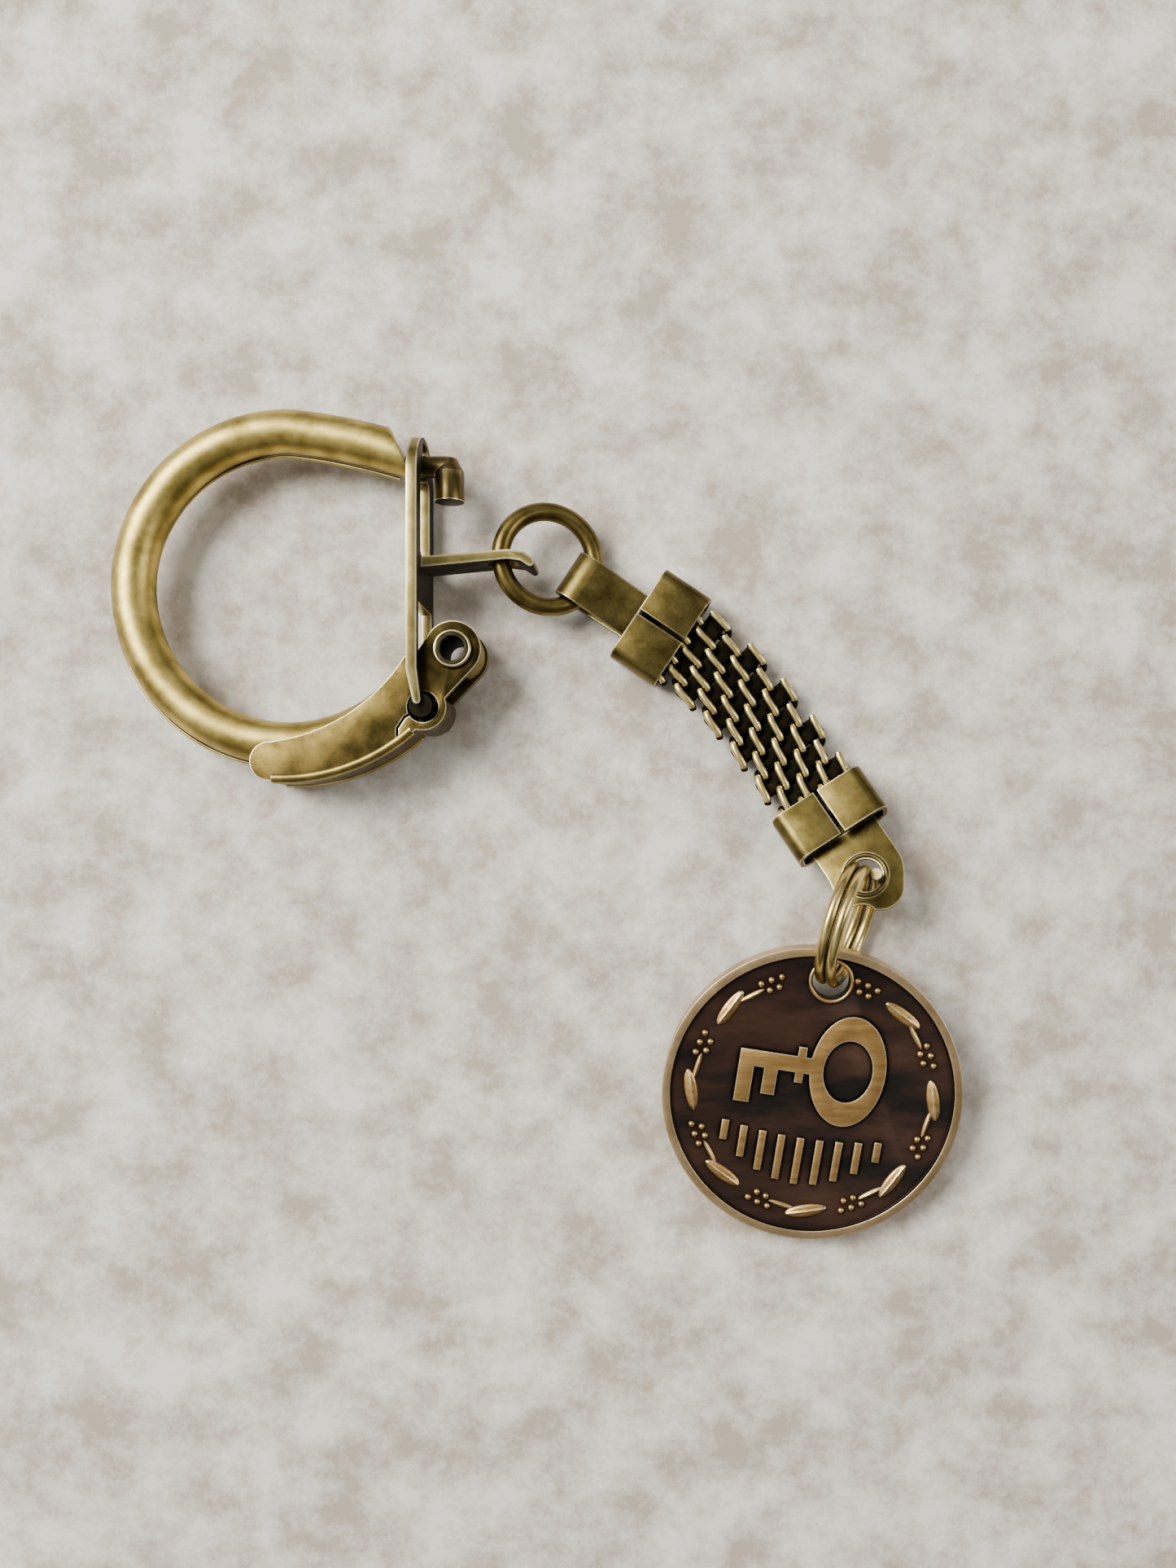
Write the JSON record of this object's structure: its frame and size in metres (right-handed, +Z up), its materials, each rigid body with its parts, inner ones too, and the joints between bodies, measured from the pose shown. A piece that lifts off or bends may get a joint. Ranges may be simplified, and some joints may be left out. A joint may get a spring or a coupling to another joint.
{
  "type": "keychain",
  "caption": "Keychain with a lever-locked opening key ring, a woven brass mesh strap and a round coin pendant on a split ring.",
  "frame": {"origin": "middle of the keychain's outline at the table it lies on", "axes": "+Z up from the table; +X along the table towards the coin's side; +Y along the table from the coin towards the key ring"},
  "size_m": [0.046, 0.0452, 0.007],
  "materials": {
    "ring_brass": "polished antique brass",
    "plate_brass": "polished antique brass",
    "lever_brass": "antique brass, darkened in the recesses",
    "eyelet_brass": "polished antique brass",
    "link_brass": "polished antique brass",
    "clasp_brass": "antique brass, darkened in the recesses",
    "mesh_brass": "antique brass wire, dark between the coils",
    "split_brass": "polished antique brass",
    "coin_bronze": "dark patina with brushed high spots"
  },
  "bodies": {
    "bridge": {"bridge_plate": "plate_brass"},
    "lever": {"lock_lever": "lever_brass", "hinge_eyelet": "eyelet_brass"},
    "key_ring": {"ring_bow": "ring_brass"},
    "link": {"link_ring": "link_brass"},
    "clasp_top": {"upper_clasp": "clasp_brass", "mesh_row_00": "mesh_brass"},
    "row_1": {"mesh_row_01": "mesh_brass"},
    "row_2": {"mesh_row_02": "mesh_brass"},
    "row_3": {"mesh_row_03": "mesh_brass"},
    "row_4": {"mesh_row_04": "mesh_brass"},
    "row_5": {"mesh_row_05": "mesh_brass"},
    "row_6": {"mesh_row_06": "mesh_brass"},
    "row_7": {"mesh_row_07": "mesh_brass"},
    "row_8": {"mesh_row_08": "mesh_brass"},
    "row_9": {"mesh_row_09": "mesh_brass"},
    "clasp_end": {"mesh_row_10": "mesh_brass", "lower_clasp": "clasp_brass"},
    "split": {"split_ring": "split_brass"},
    "pendant": {"coin": "coin_bronze"}
  },
  "joints": [
    {"name": "lever_lift", "type": "hinge", "parent": "bridge", "child": "lever", "pos_m": [-0.00593, 0.00633, 0.0025], "axis": [0, 0, 1], "range_deg": [0, 90]},
    {"name": "ring_open", "type": "hinge", "parent": "lever", "child": "key_ring", "pos_m": [-0.00434, 0.0094, 0.0025], "axis": [0, 0, 1], "range_deg": [-117, 0]},
    {"name": "link_flip", "type": "hinge", "parent": "bridge", "child": "link", "pos_m": [-0.00198, 0.01465, 0.00265], "axis": [0, 1, 0], "range_deg": [-40, 30]},
    {"name": "strap_swing", "type": "hinge", "parent": "link", "child": "clasp_top", "pos_m": [0.00049, 0.01465, 0.00185], "axis": [0.309, 0, 0.9511], "range_deg": [-35, 50]},
    {"name": "mesh_bend_01", "type": "hinge", "parent": "clasp_top", "child": "row_1", "pos_m": [0.00799, 0.0101, 0.00108], "axis": [0.5519, 0.8339, 0], "range_deg": [-8, 8]},
    {"name": "mesh_bend_02", "type": "hinge", "parent": "row_1", "child": "row_2", "pos_m": [0.00896, 0.00935, 0.001], "axis": [0.636, 0.7717, 0], "range_deg": [-8, 8]},
    {"name": "mesh_bend_03", "type": "hinge", "parent": "row_2", "child": "row_3", "pos_m": [0.00987, 0.00855, 0.00092], "axis": [0.6829, 0.7305, 0], "range_deg": [-8, 8]},
    {"name": "mesh_bend_04", "type": "hinge", "parent": "row_3", "child": "row_4", "pos_m": [0.01074, 0.00769, 0.00087], "axis": [0.7229, 0.691, 0], "range_deg": [-8, 8]},
    {"name": "mesh_bend_05", "type": "hinge", "parent": "row_4", "child": "row_5", "pos_m": [0.01156, 0.00678, 0.00083], "axis": [0.7563, 0.6542, 0], "range_deg": [-8, 8]},
    {"name": "mesh_bend_06", "type": "hinge", "parent": "row_5", "child": "row_6", "pos_m": [0.01234, 0.00584, 0.00082], "axis": [0.7836, 0.6212, 0], "range_deg": [-8, 8]},
    {"name": "mesh_bend_07", "type": "hinge", "parent": "row_6", "child": "row_7", "pos_m": [0.01308, 0.00487, 0.00084], "axis": [0.8054, 0.5927, 0], "range_deg": [-8, 8]},
    {"name": "mesh_bend_08", "type": "hinge", "parent": "row_7", "child": "row_8", "pos_m": [0.01378, 0.00387, 0.0009], "axis": [0.822, 0.5696, 0], "range_deg": [-8, 8]},
    {"name": "mesh_bend_09", "type": "hinge", "parent": "row_8", "child": "row_9", "pos_m": [0.01446, 0.00286, 0.00101], "axis": [0.8334, 0.5526, 0], "range_deg": [-8, 8]},
    {"name": "mesh_bend_10", "type": "hinge", "parent": "row_9", "child": "clasp_end", "pos_m": [0.01513, 0.00185, 0.00116], "axis": [0.8415, 0.5402, 0], "range_deg": [-8, 8]},
    {"name": "split_swing", "type": "hinge", "parent": "clasp_end", "child": "split", "pos_m": [0.01664, -0.00529, 0.00359], "axis": [0.9142, -0.312, 0.2588], "range_deg": [-20, 20]},
    {"name": "coin_swing", "type": "hinge", "parent": "split", "child": "pendant", "pos_m": [0.01664, -0.00529, 0.00359], "axis": [0.9142, -0.312, 0.2588], "range_deg": [-30, 30]}
  ],
  "couplings": [
    {"joint": "ring_open", "follows": "lever_lift", "ratio": -1.3}
  ]
}
